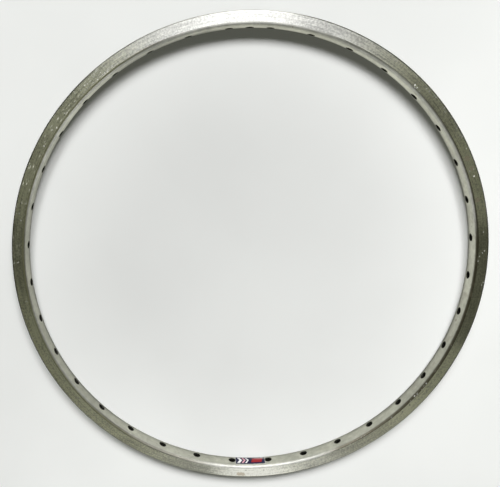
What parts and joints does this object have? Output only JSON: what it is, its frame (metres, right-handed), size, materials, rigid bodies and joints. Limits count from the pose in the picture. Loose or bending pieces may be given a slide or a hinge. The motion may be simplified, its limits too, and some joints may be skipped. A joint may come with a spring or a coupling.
{
  "type": "bicycle rim",
  "caption": "Narrow double-walled aluminium bicycle rim with flat brake tracks, a crowned spoke bed with plain spoke holes, a valve hole and a hooked tyre channel.",
  "frame": {"origin": "centre of the rim, on the axle's axis in the middle plane between the two brake tracks", "axes": "+Z along the axle's axis, upwards as the rim lies; +Y through the valve hole; the label is at -Y"},
  "size_m": [0.464, 0.464, 0.0194],
  "materials": {
    "bare_aluminium": "satin, with machined brake tracks",
    "printed_film": "worn gloss print"
  },
  "bodies": {
    "root": {"rim": "bare_aluminium", "label": "printed_film"}
  },
  "joints": []
}
